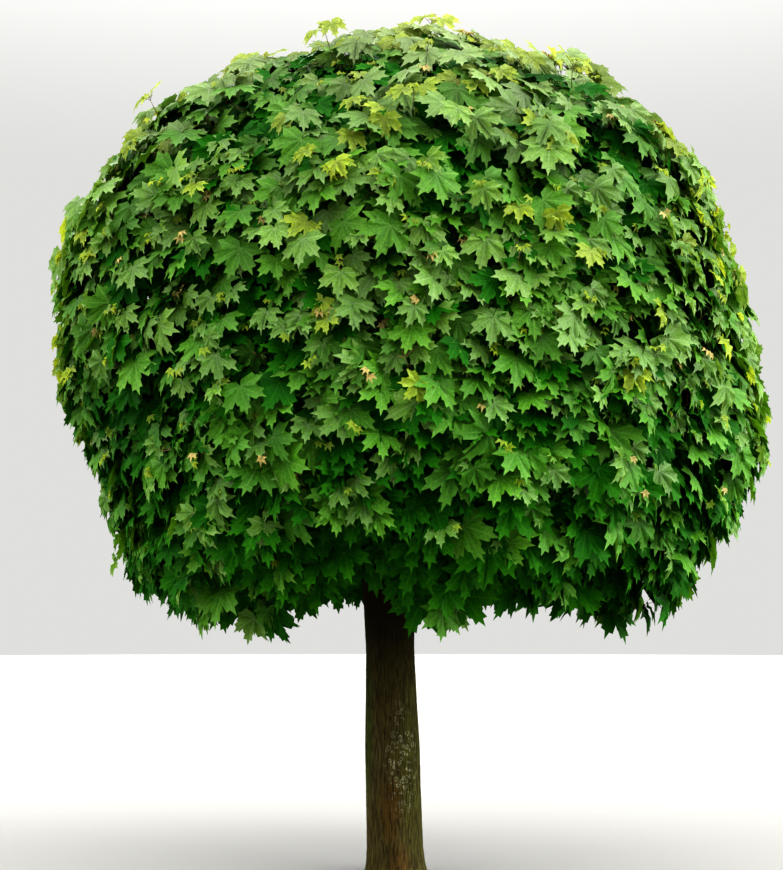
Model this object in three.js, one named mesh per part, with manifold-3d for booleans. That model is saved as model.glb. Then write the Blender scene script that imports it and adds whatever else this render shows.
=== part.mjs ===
// A globe maple: one straight trunk, boughs that fan out of the knob at its head, and a dense dome of leaves.
// Millimetres, +Z up. The origin is the middle of the trunk's flat cut at ground level. -Y faces the viewer.
import * as THREE from "three";
import { mergeVertices } from "three/addons/utils/BufferGeometryUtils.js";
import Module from "manifold-3d";

const wasm = await Module();
wasm.setup();

const clearance = 0.3; // between two pieces that meet
const cellMargin = 2; // between the leaves of a mass and the border of its space
const tidying = 0.2; // shallower steps than this are smoothed out of a joined solid
const goldenAngle = Math.PI * (3 - Math.sqrt(5));
const up = new THREE.Vector3(0, 0, 1);

// The trunk: radius at each height, from the root flare to the knob that the boughs grow out of.
const trunk = {
  stations: [
    [0, 161],
    [30, 151],
    [110, 146],
    [370, 145],
    [650, 145],
    [900, 136],
    [1160, 129],
    [1380, 136],
    [1560, 148],
    [1700, 166],
    [1810, 178],
    [1900, 168],
    [1960, 132],
    [1990, 70],
  ],
  lean: -0.023, // sideways drift for each millimetre of height
  sides: 16,
  flutes: [
    { count: 3, offset: 0.6, share: 0.022 }, // swellings round the stem, as a share of its radius
    { count: 5, offset: 2.1, share: 0.015 },
  ],
  rootRidges: { count: 5, offset: 0.9, share: 0.09, height: 150 },
};

// The crown's outline: a dome over a barrel, from the tips of the outermost leaves.
const crown = {
  centre: new THREE.Vector3(60, 0, 2750), // at the widest level
  radius: 1870,
  domeHeight: 1750,
  domePower: 2.3,
  skirtHeight: 1530,
  skirtPower: 3.4,
  waves: [
    { count: 3, offset: 0.4, twist: 1 / 900 },
    { count: 7, offset: 0, twist: -1 / 520 },
  ],
  waveHeight: 0.012, // as a share of the radius
};

// Places where the outline stands out or draws in: direction in turns, height, swell as a share of the
// radius, and how far the swell spreads round the crown and up it.
const swells = [
  { turn: 0.5, height: 3330, swell: 0.045, round: 0.13, rise: 260 },
  { turn: 0, height: 3300, swell: -0.025, round: 0.13, rise: 300 },
  { turn: 0.5, height: 1900, swell: -0.095, round: 0.16, rise: 420 },
  { turn: 0, height: 2150, swell: 0.025, round: 0.13, rise: 380 },
  { turn: 0, height: 3800, swell: 0.02, round: 0.12, rise: 200 },
  { turn: 0.28, height: 2500, swell: 0.03, round: 0.1, rise: 500 },
  { turn: 0.72, height: 3400, swell: 0.02, round: 0.1, rise: 300 },
];

// The bare space round the head of the trunk, where the boughs show and no leaf grows.
const hollow = {
  centre: new THREE.Vector3(30, 0, 2330),
  radius: 1205,
  halfHeight: 1330,
  bare: 1.12, // no leaf's middle lies nearer than this share of it
  columns: 12,
  rows: 8,
};

// The rings of boughs, each with one mass of foliage at its tip.
const rings = [
  {
    name: "skirt",
    count: 8,
    turn: 0.2,
    massRadius: 1440,
    massHeight: 2110,
    stagger: 170, // every other mass sits this much higher, the rest lower
    dip: 0.12, // how much flatter the bough comes in
    rootRadius: 92,
    rootHeight: 1800,
    boughRadius: 47,
  },
  {
    name: "shoulder",
    count: 5,
    turn: 0.75,
    massRadius: 1110,
    massHeight: 3540,
    stagger: 120,
    dip: 0.25,
    rootRadius: 58,
    rootHeight: 1880,
    boughRadius: 42,
  },
  {
    name: "top",
    count: 1,
    turn: 0,
    massRadius: 0,
    massHeight: 4010,
    stagger: 0,
    dip: 0,
    rootRadius: 0,
    rootHeight: 1880,
    boughRadius: 44,
  },
];
const bough = {
  tipRadius: 19,
  flatness: 0.05, // its section is a little oval
  sides: 6,
  steps: 5,
  entry: 0.93, // share of the hollow at which it meets its mass
  approach: 300, // length of its straight end
  sway: 0.05, // spread of the masses' distance from the axis
};

// Leaves are spread over the crown by the golden angle. Most stand straight out of the heart of their mass.
const spray = {
  count: 366,
  depth: 0.925, // share of the outline at which a leaf's middle lies
  depthSpread: 0.03,
  limit: 1.015, // the outermost leaf tips
  lowDepth: 0.12, // the underside's leaves sit higher, to leave room for their tips
};

// The twigs leave the stem and carry the leaves that hang or stand too far out for the heart of the mass.
const twig = {
  radius: 13,
  tipRadius: 5,
  stemShares: [0.3, 0.95], // stretch of the stem that twigs leave from
  overrun: 14, // a leaf stalk ends this far beyond the twig's middle
  inset: 45, // and the twig this far under the blade
};

// The longer shoots that stand out of the dome, each with three smaller leaves.
const sprigs = {
  count: 8,
  lowest: 0.55,
  depth: 0.985,
  limit: 1.06,
  leafShare: 0.55,
  seats: [1, 0.96, 0.92], // places of its leaves along the sprig
  sides: [0, 1, -1],
  fan: 1.9, // how far the pair turns away from the end leaf
  offset: [0.25, 0.1], // a leaf's middle lies this far out and up from its place on the sprig
  turn: 1.2, // of the first sprig
};

// A leaf stands for a spray of real ones. Its outline runs from the tip round one side, as turn and length.
const leaf = {
  length: 360,
  thickness: 0.03, // as a share of its length
  droop: 0.16,
  flare: 0.52, // how far its tip stands off the crown's skin
  flareSpread: 0.25,
  spin: 0.8, // spread of the turn from straight down
  hang: 1400, // the tips aim at a point this far under the crown's centre
  lobes: [
    [0, 1],
    [21, 0.53],
    [45, 0.9],
    [71, 0.43],
    [104, 0.6],
    [150, 0.1],
  ],
  lowest: -0.12, // the lowest slope that a leaf's face follows, so that the skirt's leaves hang upright
  stalkTurn: 0.8, // how steeply the stalk leaves the back of the blade
  stalkRoots: [60, 35], // depth of its end inside the heart of the mass
  stalkLimit: 330,
  sizes: [1, 0.88, 0.76, 0.64], // tried in turn where a leaf is short of room
  shifts: [0, 0.08, 0.16, 0.24], // and how far it then moves in from the border of its mass
  turns: [0, 0.45, -0.45], // and how far it then swings round
};

// The dense heart of each mass, under its leaves.
const core = { share: 0.87, lowDepth: 0.12, gap: 4, columns: 20, rows: 12 };

const barkColour = new THREE.MeshStandardMaterial({
  color: 0x4a3a2a,
  roughness: 0.95,
  metalness: 0,
});
const boughColour = new THREE.MeshStandardMaterial({
  color: 0x57493a,
  roughness: 0.9,
  metalness: 0,
});
const leafColours = {
  skirt: 0x2f6b24,
  shoulder: 0x4c8a35,
  top: 0x6a9c42,
};

// What the steady numbers below are drawn for.
const draws = { sway: 1, flare: 11, depth: 21, root: 31, spin: 41 };

// A steady number from 0 to 1 for a place in the growth, the same on every run.
function chance(index, channel) {
  const wave = Math.sin(index * 12.9898 + channel * 78.233) * 43758.5453;
  return wave - Math.floor(wave);
}

function solidOf(geometry) {
  geometry.deleteAttribute("normal");
  geometry.deleteAttribute("uv");
  const merged = mergeVertices(geometry, 1e-3);
  return new wasm.Manifold(
    new wasm.Mesh({
      numProp: 3,
      vertProperties: merged.getAttribute("position").array,
      triVerts: new Uint32Array(merged.index.array),
    }),
  );
}

// The largest body of a solid, as a named mesh: a scrap that hangs loose is dropped.
function meshOf(solid, name, material) {
  const bodies = solid.decompose();
  bodies.sort((a, b) => b.volume() - a.volume());
  const made = bodies[0].getMesh();
  const geometry = new THREE.BufferGeometry();
  geometry.setAttribute(
    "position",
    new THREE.BufferAttribute(made.vertProperties, 3),
  );
  geometry.setIndex(new THREE.BufferAttribute(made.triVerts, 1));
  const mesh = new THREE.Mesh(geometry, material);
  mesh.name = name;
  return mesh;
}

// A closed limb: a cylinder whose rings are carried along a line, with a radius for each place and turn.
function limb(line, radiusAt, sides, rings) {
  const shape = new THREE.CylinderGeometry(1, 1, 1, sides, rings);
  shape.rotateX(Math.PI / 2);
  const at = shape.getAttribute("position");
  const point = new THREE.Vector3();
  for (let i = 0; i < at.count; i += 1) {
    const along = at.getZ(i) + 0.5;
    const turn = Math.atan2(at.getY(i), at.getX(i));
    const out = Math.hypot(at.getX(i), at.getY(i)) > 0.5 ? radiusAt(along, turn) : 0;
    const facing = new THREE.Quaternion().setFromUnitVectors(
      up,
      line.getTangent(along),
    );
    point.set(out * Math.cos(turn), out * Math.sin(turn), 0);
    point.applyQuaternion(facing).add(line.getPoint(along));
    at.setXYZ(i, point.x, point.y, point.z);
  }
  return shape;
}

function trunkAxis(height) {
  return new THREE.Vector3(trunk.lean * height, 0, height);
}

function fluting(turn, height) {
  let share = 1;
  for (const flute of trunk.flutes) {
    share += flute.share * Math.cos(flute.count * turn + flute.offset);
  }
  const ridge = trunk.rootRidges;
  const fade = Math.exp(-height / ridge.height);
  return share + ridge.share * fade * Math.cos(ridge.count * turn + ridge.offset);
}

// The trunk's skin, grown outwards by a margin where a cutter is wanted.
function trunkShape(margin) {
  const rings = trunk.stations.length - 1;
  const shape = new THREE.CylinderGeometry(1, 1, 1, trunk.sides, rings);
  shape.rotateX(Math.PI / 2);
  const at = shape.getAttribute("position");
  for (let i = 0; i < at.count; i += 1) {
    const station = Math.round((at.getZ(i) + 0.5) * rings);
    const [height, radius] = trunk.stations[station];
    const turn = Math.atan2(at.getY(i), at.getX(i));
    const rim = Math.hypot(at.getX(i), at.getY(i)) > 0.5;
    const out = rim ? radius * fluting(turn, height) + margin : 0;
    const axis = trunkAxis(height);
    const lift = station === rings ? margin : 0;
    at.setXYZ(
      i,
      axis.x + out * Math.cos(turn),
      axis.y + out * Math.sin(turn),
      height + lift,
    );
  }
  return shape;
}

// How far out a point of the crown lies: 0 at its centre and 1 on its outline.
function crownShare(point) {
  const x = point.x - crown.centre.x;
  const y = point.y - crown.centre.y;
  const z = point.z - crown.centre.z;
  const turn = Math.atan2(y, x);
  const height = z > 0 ? crown.domeHeight : crown.skirtHeight;
  const power = z > 0 ? crown.domePower : crown.skirtPower;
  let swell = 1;
  for (const wave of crown.waves) {
    const phase = wave.count * turn + wave.offset + wave.twist * z;
    swell += crown.waveHeight * Math.cos(phase);
  }
  for (const one of swells) {
    const away = Math.abs(turn / (2 * Math.PI) - one.turn + 2) % 1;
    const round = Math.min(away, 1 - away) / one.round;
    const rise = (point.z - one.height) / one.rise;
    swell += one.swell * Math.exp(-(round ** 2) - rise ** 2);
  }
  const flat = Math.hypot(x, y) / (crown.radius * swell);
  return (flat ** power + Math.abs(z / height) ** power) ** (1 / power);
}

// The point at a share of the outline, in one direction from the crown's centre.
function crownPoint(direction, share) {
  let near = 0;
  let far = 2.5 * crown.radius;
  const point = new THREE.Vector3();
  for (let step = 0; step < 30; step += 1) {
    const middle = (near + far) / 2;
    point.copy(crown.centre).addScaledVector(direction, middle);
    if (crownShare(point) < share) near = middle;
    else far = middle;
  }
  return point;
}

function crownNormal(point) {
  const step = 5;
  const slope = ["x", "y", "z"].map((axis) => {
    const ahead = point.clone();
    const behind = point.clone();
    ahead[axis] += step;
    behind[axis] -= step;
    return crownShare(ahead) - crownShare(behind);
  });
  return new THREE.Vector3(...slope).normalize();
}

// How far the outline faces down in one direction from the crown's centre, from 0 to 1.
function lowness(way) {
  return Math.max(0, -crownNormal(crownPoint(way, 1)).z);
}

function hollowShare(point) {
  const flat = Math.hypot(point.x - hollow.centre.x, point.y - hollow.centre.y);
  const z = (point.z - hollow.centre.z) / hollow.halfHeight;
  return Math.hypot(flat / hollow.radius, z);
}

// One site for each bough: where it leaves the knob, where it enters its mass, and the mass's middle.
function boughSites() {
  const sites = [];
  for (const ring of rings) {
    for (let i = 0; i < ring.count; i += 1) {
      const seat = sites.length;
      const turn = ring.turn + (i * 2 * Math.PI) / ring.count;
      const out = new THREE.Vector3(Math.cos(turn), Math.sin(turn), 0);
      const sway = 1 + bough.sway * (chance(seat, draws.sway) - 0.5);
      const middle = new THREE.Vector3(
        crown.centre.x,
        crown.centre.y,
        ring.massHeight + (i % 2 ? ring.stagger : -ring.stagger),
      ).addScaledVector(out, ring.massRadius * sway);
      const root = trunkAxis(ring.rootHeight).addScaledVector(out, ring.rootRadius);
      const heading = middle.clone().sub(root).normalize();
      heading.z -= ring.dip;
      heading.normalize();
      const entry = middle.clone();
      while (hollowShare(entry) > bough.entry) entry.addScaledVector(heading, -2);
      const name = ring.count > 1 ? `${ring.name}_${i + 1}` : ring.name;
      sites.push({ seat, name, ring, middle, root, heading, entry });
    }
  }
  return sites;
}

// How deep a point lies inside its mass's own space, in millimetres, against the other masses.
function cellDepth(point, site, sites) {
  let depth = Infinity;
  for (const other of sites) {
    if (other === site) continue;
    const gap = other.middle.clone().sub(site.middle);
    const middle = other.middle.clone().add(site.middle).multiplyScalar(0.5);
    depth = Math.min(depth, middle.sub(point).dot(gap.normalize()));
  }
  return depth;
}

function boughLine(site) {
  const bend = site.entry.clone().addScaledVector(site.heading, -bough.approach);
  if (!site.ring.massRadius) bend.copy(site.root).lerp(site.entry, 0.5);
  return new THREE.QuadraticBezierCurve3(site.root, bend, site.entry);
}

function boughSolid(site, cutter) {
  const { lerp } = THREE.MathUtils;
  const radiusAt = (along, turn) =>
    lerp(site.ring.boughRadius, bough.tipRadius, along ** 0.8) *
    (1 + bough.flatness * Math.cos(2 * turn + site.seat));
  const shape = limb(boughLine(site), radiusAt, bough.sides, bough.steps);
  return solidOf(shape).subtract(cutter);
}

// The stem carries on from the bough's tip to the middle of the mass, and every twig leaves it.
function stemOf(site) {
  const start = site.entry.clone().addScaledVector(site.heading, clearance);
  const length = start.distanceTo(site.middle);
  const end = start.clone().addScaledVector(site.heading, length);
  return new THREE.LineCurve3(start, end);
}

// A closed skin round a centre, with a reach for each direction.
function skinSolid(centre, columns, rows, reachTo) {
  const shape = new THREE.SphereGeometry(1, columns, rows);
  shape.rotateX(Math.PI / 2);
  const at = shape.getAttribute("position");
  for (let i = 0; i < at.count; i += 1) {
    const point = reachTo(new THREE.Vector3().fromBufferAttribute(at, i).normalize());
    at.setXYZ(i, point.x, point.y, point.z);
  }
  return solidOf(shape);
}

// The dense hearts of the masses before they are parted: one thick shell under the leaves, round the hollow.
function shellSolid() {
  const outer = skinSolid(crown.centre, core.columns, core.rows, (way) =>
    crownPoint(way, core.share - core.lowDepth * lowness(way) ** 2),
  );
  const inner = skinSolid(hollow.centre, hollow.columns, hollow.rows, (way) =>
    way
      .multiply(new THREE.Vector3(hollow.radius, hollow.radius, hollow.halfHeight))
      .add(hollow.centre),
  );
  return outer.subtract(inner);
}

// The heart of one mass: the stretch of the shell that is nearer to it than to the other masses.
function heartSolid(site, sites, shell) {
  let heart = shell;
  for (const other of sites) {
    if (other === site) continue;
    const way = site.middle.clone().sub(other.middle);
    const middle = site.middle.clone().add(other.middle).multiplyScalar(0.5);
    way.normalize();
    heart = heart.trimByPlane(way.toArray(), middle.dot(way) + core.gap);
  }
  return heart;
}

// A thin star-shaped blade with five lobes and a stalk that ends at a point of its own. The blade's middle is
// the origin, it points along X and faces Z.
function leafShape(size, stalkEnd) {
  const half = leaf.lobes.length;
  const shape = new THREE.ConeGeometry(1, 1, 2 * half);
  const at = shape.getAttribute("position");
  for (let i = 0; i < at.count; i += 1) {
    const rim = Math.hypot(at.getX(i), at.getZ(i)) > 0.5;
    if (!rim) {
      at.setXYZ(i, 0, 0, Math.sign(at.getY(i)) * 0.5 * leaf.thickness * size);
      continue;
    }
    const turn = Math.atan2(at.getX(i), at.getZ(i));
    const place = Math.round((turn * half) / Math.PI);
    if (Math.abs(place) === half) {
      at.setXYZ(i, stalkEnd.x, stalkEnd.y, stalkEnd.z);
      continue;
    }
    const [degrees, length] = leaf.lobes[Math.abs(place)];
    const angle = Math.sign(place) * THREE.MathUtils.degToRad(degrees);
    at.setXYZ(
      i,
      size * length * Math.cos(angle),
      size * length * Math.sin(angle),
      -size * leaf.droop * length ** 2,
    );
  }
  return shape;
}

// A leaf lies over the ones below it like a shingle: its tip hangs down the crown and stands off a little.
function leafPlace(seat, point, spin) {
  const normal = crownNormal(point);
  normal.z = Math.max(normal.z, leaf.lowest);
  normal.normalize();
  const down = new THREE.Vector3(
    point.x - crown.centre.x,
    point.y - crown.centre.y,
    -leaf.hang,
  );
  down.addScaledVector(normal, -down.dot(normal)).normalize();
  down.applyAxisAngle(normal, spin);
  const flare = leaf.flare + leaf.flareSpread * (chance(seat, draws.flare) - 0.5);
  const tip = down.multiplyScalar(Math.cos(flare));
  tip.addScaledVector(normal, Math.sin(flare));
  const across = new THREE.Vector3().crossVectors(normal, tip).normalize();
  const face = new THREE.Vector3().crossVectors(tip, across);
  return new THREE.Matrix4().makeBasis(tip, across, face).setPosition(point);
}

// True where every corner of a leaf keeps inside the outline, out of the hollow and in the mass's own space.
function fits(shape, site, sites, outline) {
  const at = shape.getAttribute("position");
  const point = new THREE.Vector3();
  for (let i = 0; i < at.count; i += 1) {
    point.fromBufferAttribute(at, i);
    if (crownShare(point) > outline) return false;
    if (hollowShare(point) < 1) return false;
    if (cellDepth(point, site, sites) < cellMargin) return false;
  }
  return true;
}

// The first of the sizes, shifts and turns at which a leaf has room.
function fittedLeaf(seat, point, site, sites, how) {
  const way = site.middle.clone().sub(point);
  const normal = crownNormal(point);
  way.addScaledVector(normal, -way.dot(normal));
  for (const share of leaf.sizes) {
    const size = leaf.length * share * how.scale;
    for (const shift of how.shifts) {
      const middle = point.clone().addScaledVector(way, shift);
      for (const turn of how.turns) {
        const place = leafPlace(seat, middle, how.spin + turn);
        const trial = leafShape(size, new THREE.Vector3());
        if (fits(trial.applyMatrix4(place), site, sites, how.outline)) {
          return { size, middle, place };
        }
      }
    }
  }
  return null;
}

// The leaf as a solid, with its stalk run to a point of the tree.
function leafSolid(made, stalkEnd) {
  const foot = stalkEnd.clone().applyMatrix4(made.place.clone().invert());
  return solidOf(leafShape(made.size, foot).applyMatrix4(made.place));
}

// Every leaf and sprig of the crown, spread by the golden angle, with the mass that it belongs to.
function spraysOf(sites) {
  const sprays = [];
  const total = spray.count + sprigs.count;
  for (let i = 0; i < total; i += 1) {
    const sprig = i >= spray.count;
    const order = sprig ? i - spray.count : i;
    const height = sprig
      ? 1 - ((1 - sprigs.lowest) * (order + 0.5)) / sprigs.count
      : 1 - (2 * (order + 0.5)) / spray.count;
    const turn = order * goldenAngle + (sprig ? sprigs.turn : 0);
    const flat = Math.sqrt(1 - height ** 2);
    const way = new THREE.Vector3(
      flat * Math.cos(turn),
      flat * Math.sin(turn),
      height,
    );
    const spread = spray.depthSpread * (chance(i, draws.depth) - 0.5);
    const depth = spray.depth + spread - spray.lowDepth * lowness(way) ** 2;
    const tip = crownPoint(way, sprig ? sprigs.depth : depth);
    if (hollowShare(tip) < hollow.bare) continue;
    let owner = sites[0];
    for (const site of sites) {
      if (site.middle.distanceTo(tip) < owner.middle.distanceTo(tip)) owner = site;
    }
    sprays.push({ seat: i, tip, owner, sprig });
  }
  return sprays;
}

function twigSolid(root, tip) {
  const way = tip.clone().sub(root);
  const long = way.length();
  const shape = new THREE.CylinderGeometry(twig.tipRadius, twig.radius, long, 3, 1);
  shape.rotateX(Math.PI / 2);
  shape.translate(0, 0, long / 2);
  const facing = new THREE.Quaternion().setFromUnitVectors(up, way.normalize());
  shape.applyQuaternion(facing);
  shape.translate(root.x, root.y, root.z);
  return solidOf(shape);
}

// Where a stalk that runs back from the leaf's middle takes root in the heart of the mass, if it can.
function stalkRoot(made, heart, site, sites) {
  const back = new THREE.Vector3(-Math.cos(leaf.stalkTurn), 0, -Math.sin(leaf.stalkTurn));
  back.transformDirection(made.place);
  const ray = new THREE.Raycaster(made.middle, back, 0, leaf.stalkLimit);
  const [hit] = ray.intersectObject(heart);
  if (!hit) return null;
  for (const depth of leaf.stalkRoots) {
    const root = hit.point.clone().addScaledVector(back, depth);
    if (cellDepth(root, site, sites) > cellMargin) return root;
  }
  return null;
}

// A leaf with its stalk in the heart of the mass, or at the end of a twig where the heart is too far.
function leafParts(one, stem, heart, site, sites) {
  const spin = leaf.spin * (chance(one.seat, draws.spin) - 0.5);
  const { shifts, turns } = leaf;
  const how = { spin, scale: 1, outline: spray.limit, shifts, turns };
  const made = fittedLeaf(one.seat, one.tip, site, sites, how);
  if (!made) return [];
  const foot = stalkRoot(made, heart, site, sites);
  if (foot) return [leafSolid(made, foot)];
  const [first, last] = twig.stemShares;
  const root = stem.getPoint(THREE.MathUtils.lerp(first, last, chance(one.seat, draws.root)));
  const end = made.middle.clone().addScaledVector(crownNormal(made.middle), -twig.inset);
  if (cellDepth(end, site, sites) < cellMargin + twig.radius) return [];
  const past = end.clone().lerp(root, twig.overrun / end.distanceTo(root));
  return [leafSolid(made, past), twigSolid(root, end)];
}

// A sprig: a long twig with a leaf at its end and a pair behind it.
function sprigParts(one, stem, site, sites) {
  const root = stem.getPoint(twig.stemShares[1]);
  const parts = [];
  if (cellDepth(one.tip, site, sites) < cellMargin + twig.radius) return parts;
  sprigs.seats.forEach((share, order) => {
    const turn = leaf.spin * (chance(one.seat, draws.spin + order) - 0.5);
    const spin = sprigs.sides[order] * sprigs.fan + turn;
    const scale = sprigs.leafShare;
    const how = { spin, scale, outline: sprigs.limit, shifts: [0], turns: [0] };
    const seat = one.seat * 3 + order;
    const base = root.clone().lerp(one.tip, share);
    const made = fittedLeaf(seat, base, site, sites, how);
    if (!made) return;
    const [out, rise] = sprigs.offset;
    const back = new THREE.Vector3(-out * made.size, 0, -rise * made.size);
    const offset = back.applyMatrix4(made.place).sub(made.middle);
    made.place.setPosition(base.clone().sub(offset));
    const past = offset.clone().setLength(twig.overrun - twig.tipRadius).add(base);
    if (cellDepth(past, site, sites) < cellMargin) return;
    parts.push(leafSolid(made, past));
  });
  if (parts.length) parts.push(twigSolid(root, one.tip));
  return parts;
}

// One mass of foliage: stem, dense heart, twigs and leaves joined into one solid.
function massSolid(site, sites, sprays, shell) {
  const stem = stemOf(site);
  const stemRadius = (along) => THREE.MathUtils.lerp(bough.tipRadius, twig.radius, along);
  const core = heartSolid(site, sites, shell);
  const heart = meshOf(core, "heart", boughColour);
  const parts = [solidOf(limb(stem, stemRadius, bough.sides, 1)), core];
  for (const one of sprays) {
    if (one.owner !== site) continue;
    if (one.sprig) parts.push(...sprigParts(one, stem, site, sites));
    else parts.push(...leafParts(one, stem, heart, site, sites));
  }
  return wasm.Manifold.union(parts).simplify(tidying);
}

const tree = new THREE.Group();
tree.name = "globe_maple";
const cutter = solidOf(trunkShape(clearance));
tree.add(meshOf(solidOf(trunkShape(0)), "trunk", barkColour));
const sites = boughSites();
const sprays = spraysOf(sites);
const shell = shellSolid();
for (const site of sites) {
  const leafColour = new THREE.MeshStandardMaterial({
    color: leafColours[site.ring.name],
    roughness: 0.55,
    metalness: 0,
  });
  tree.add(meshOf(boughSolid(site, cutter), `bough_${site.name}`, boughColour));
  const mass = massSolid(site, sites, sprays, shell);
  tree.add(meshOf(mass, `foliage_${site.name}`, leafColour));
}

export default tree;
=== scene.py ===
import math

import bmesh
import bpy
import numpy as np
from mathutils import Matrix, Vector, noise


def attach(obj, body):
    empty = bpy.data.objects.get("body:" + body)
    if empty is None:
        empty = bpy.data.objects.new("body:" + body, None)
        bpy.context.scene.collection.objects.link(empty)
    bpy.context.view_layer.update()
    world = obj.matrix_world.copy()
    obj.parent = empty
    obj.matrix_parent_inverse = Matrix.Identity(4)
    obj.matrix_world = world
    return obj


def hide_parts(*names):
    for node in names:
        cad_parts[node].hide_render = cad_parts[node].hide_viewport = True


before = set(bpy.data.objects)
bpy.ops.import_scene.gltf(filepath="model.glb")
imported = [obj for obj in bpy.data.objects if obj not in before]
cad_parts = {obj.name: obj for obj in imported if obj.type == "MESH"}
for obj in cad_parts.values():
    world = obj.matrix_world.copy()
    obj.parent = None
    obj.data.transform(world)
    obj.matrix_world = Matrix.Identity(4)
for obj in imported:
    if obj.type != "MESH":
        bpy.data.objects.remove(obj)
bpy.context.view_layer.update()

# Metres, +Z up. The trunk stands on the origin and -Y faces the viewer.

goldenAngle = math.pi * (3 - math.sqrt(5))
up = Vector((0, 0, 1))
scatter = (12.9898, 78.233, 43758.5453)  # uneven numbers that mix a place and a channel well
mostTriangles = 190000  # in one piece
foliageNodes = [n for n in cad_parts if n.startswith("foliage_")]
allPieces = []


def chance(index, channel):
    # a steady number from 0 to 1 for a place in the growth; each use has a channel of its own
    wave = np.sin(np.asarray(index, float) * scatter[0] + channel * scatter[1]) * scatter[2]
    return wave - np.floor(wave)


def spread(index, channel, size):
    return size * (chance(index, channel) - 0.5)


def unit(ways):
    return ways / np.linalg.norm(ways, axis=-1, keepdims=True)


def dot(a, b):
    return (a * b).sum(-1, keepdims=True)


def ramp(value, start, full):
    # 0 up to the start, 1 from where it is full
    return np.clip((value - start) / (full - start), 0, 1)


def onCurve(t, start, bend, end):
    return (1 - t) ** 2 * start + 2 * t * (1 - t) * bend + t * t * end


crown = {
    "centre": np.array((0.06, 0.0, 2.75)),  # at the widest level
    "radius": 1.87,
    "domeHeight": 1.75,
    "domePower": 2.3,
    "skirtHeight": 1.53,
    "skirtPower": 3.4,
    "waves": ((3, 0.4, 1 / 0.9), (7, 0.0, -1 / 0.52)),  # count, offset and twist for each metre of height
    "waveHeight": 0.012,
    "searchReach": 2.5,  # in radii
    "searchSteps": 30,
    "slopeStep": 0.005,
}

# where the outline stands out or draws in: turn, height, swell, and how far it spreads round and up
swells = (
    (0.5, 3.33, 0.045, 0.13, 0.26),
    (0.0, 3.3, -0.025, 0.13, 0.3),
    (0.5, 1.9, -0.095, 0.16, 0.42),
    (0.0, 2.15, 0.025, 0.13, 0.38),
    (0.0, 3.8, 0.02, 0.12, 0.2),
    (0.28, 2.5, 0.03, 0.1, 0.5),
    (0.72, 3.4, 0.02, 0.1, 0.3),
    (0.5, 2.75, 0.028, 0.13, 0.55),
    (0.96, 4.15, -0.04, 0.13, 0.25),
    (0.58, 4.0, 0.022, 0.1, 0.28),
)

# the space inside the crown that bears no leaves, and the share of it within which no shoot ends
hollow = {"centre": np.array((0.03, 0.0, 2.33)), "radius": 1.205, "halfHeight": 1.33, "bare": 1.12}


def crownShare(points):
    # 0 at the centre and 1 on the outline
    x, y, z = (points - crown["centre"]).T
    turn = np.arctan2(y, x)
    height = np.where(z > 0, crown["domeHeight"], crown["skirtHeight"])
    power = np.where(z > 0, crown["domePower"], crown["skirtPower"])
    swell = np.ones(len(points))
    for count, offset, twist in crown["waves"]:
        swell += crown["waveHeight"] * np.cos(count * turn + offset + twist * z)
    for place, level, size, width, rise in swells:
        away = np.abs(turn / (2 * np.pi) - place + 2) % 1
        across = np.minimum(away, 1 - away) / width
        swell += size * np.exp(-(across**2) - ((points[:, 2] - level) / rise) ** 2)
    flat = np.hypot(x, y) / (crown["radius"] * swell)
    return (flat**power + np.abs(z / height) ** power) ** (1 / power)


def crownPoint(ways, share):
    # where each way from the centre comes to that share, found by halving
    near, far = np.zeros(len(ways)), np.full(len(ways), crown["searchReach"] * crown["radius"])
    for _ in range(crown["searchSteps"]):
        middle = (near + far) / 2
        inside = crownShare(crown["centre"] + ways * middle[:, None]) < share
        near, far = np.where(inside, middle, near), np.where(inside, far, middle)
    return crown["centre"] + ways * middle[:, None]


def crownNormal(points):
    steps = crown["slopeStep"] * np.eye(3)
    slope = [crownShare(points + step) - crownShare(points - step) for step in steps]
    return unit(np.stack(slope, axis=1))


def lowness(ways):
    # how far the outline faces down
    return np.maximum(0, -crownNormal(crownPoint(ways, 1))[:, 2])


def hollowShare(points):
    x, y, z = (points - hollow["centre"]).T
    return np.hypot(np.hypot(x, y) / hollow["radius"], z / hollow["halfHeight"])


def goldenWays(order, count, turn=0.0, lowest=-1.0):
    height = 1 - (1 - lowest) * (order + 0.5) / count
    angle = order * goldenAngle + turn
    flat = np.sqrt(1 - height**2)
    return np.stack((flat * np.cos(angle), flat * np.sin(angle), height), axis=1)


def newFinish(name, roughness, shine):
    finish = bpy.data.materials.new(name)
    finish.use_nodes = True
    tree = finish.node_tree
    shader = tree.nodes["Principled BSDF"]
    shader.inputs["Roughness"].default_value = roughness
    shader.inputs["Specular IOR Level"].default_value = shine
    return finish, tree, shader


def node(tree, kind, settings=None, **inputs):
    # one node with its settings and its inputs, which are values or sockets to join
    made = tree.nodes.new("ShaderNode" + kind)
    for key, value in (settings or {}).items():
        setattr(made, key, value)
    for key, value in inputs.items():
        socket = made.inputs[int(key[1:])] if key[0] == "i" and key[1:].isdigit() else made.inputs[key]
        if isinstance(value, bpy.types.NodeSocket):
            tree.links.new(value, socket)
        else:
            socket.default_value = value
    return made


def colour(rgb):
    return (*rgb, 1.0)


def blendColour(tree, share, first, second):
    settings = {"data_type": "RGBA", "clamp_factor": True}
    return node(tree, "Mix", settings, i0=share, i6=first, i7=second).outputs[2]


def rangeOf(tree, value, low, high, to=(0.0, 1.0)):
    # goes smoothly from the first number to the second while the value goes from low to high
    settings = {"interpolation_type": "SMOOTHSTEP"}
    return node(tree, "MapRange", settings, i0=value, i1=low, i2=high, i3=to[0], i4=to[1]).outputs[0]


def sums(tree, kind, a, b=0.0):
    return node(tree, "Math", {"operation": kind}, i0=a, i1=b).outputs[0]


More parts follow.
